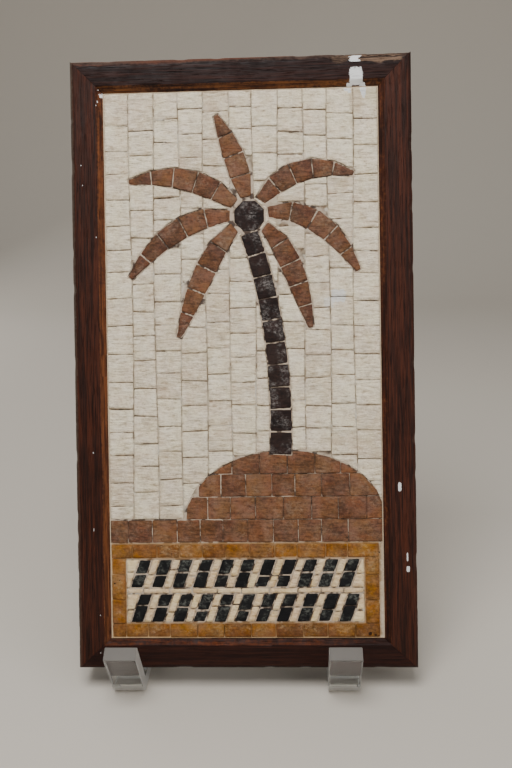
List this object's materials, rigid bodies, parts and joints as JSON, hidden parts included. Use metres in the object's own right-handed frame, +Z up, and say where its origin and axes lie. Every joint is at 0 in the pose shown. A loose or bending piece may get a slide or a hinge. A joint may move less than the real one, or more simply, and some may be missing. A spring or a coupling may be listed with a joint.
{
  "type": "framed mosaic panel",
  "caption": "Framed stone mosaic picture with a palm tree over a plaque of slanted strokes, leaning in a clear bent stand.",
  "frame": {"origin": "on the table, under the middle of the whole object's box", "axes": "+X to the right of someone facing the picture, +Y away from them, +Z up"},
  "size_m": [0.17, 0.1426, 0.3059],
  "materials": {
    "frame_wood": "dark red-brown stain, satin, worn edges",
    "mortar": "rough grey-cream mortar",
    "cream_stone": "split, matt",
    "terracotta_stone": "split, matt",
    "dark_stone": "split, matt, with a pale bloom",
    "ochre_stone": "split, matt",
    "clear_acrylic": "clear, polished"
  },
  "bodies": {
    "root": {"frame_left_stile": "frame_wood", "frame_right_stile": "frame_wood", "frame_top_rail": "frame_wood", "frame_bottom_rail": "frame_wood", "mortar_bed": "mortar", "cream_field": "cream_stone", "plaque_ground": "cream_stone", "terracotta_ground": "terracotta_stone", "frond_top": "terracotta_stone", "frond_upper_right": "terracotta_stone", "frond_right": "terracotta_stone", "frond_lower_right": "terracotta_stone", "frond_upper_left": "terracotta_stone", "frond_left": "terracotta_stone", "frond_lower_left": "terracotta_stone", "palm_trunk": "dark_stone", "palm_crown": "dark_stone", "dark_stroke_row1_1": "dark_stone", "dark_stroke_row1_2": "dark_stone", "dark_stroke_row1_3": "dark_stone", "dark_stroke_row1_4": "dark_stone", "dark_stroke_row1_5": "dark_stone", "dark_stroke_row1_6": "dark_stone", "dark_stroke_row1_7": "dark_stone", "dark_stroke_row1_8": "dark_stone", "dark_stroke_row1_9": "dark_stone", "dark_stroke_row1_10": "dark_stone", "dark_stroke_row1_11": "dark_stone", "dark_stroke_row2_1": "dark_stone", "dark_stroke_row2_2": "dark_stone", "dark_stroke_row2_3": "dark_stone", "dark_stroke_row2_4": "dark_stone", "dark_stroke_row2_5": "dark_stone", "dark_stroke_row2_6": "dark_stone", "dark_stroke_row2_7": "dark_stone", "dark_stroke_row2_8": "dark_stone", "dark_stroke_row2_9": "dark_stone", "dark_stroke_row2_10": "dark_stone", "dark_stroke_row2_11": "dark_stone", "ochre_border": "ochre_stone", "clear_stand": "clear_acrylic"}
  },
  "joints": []
}
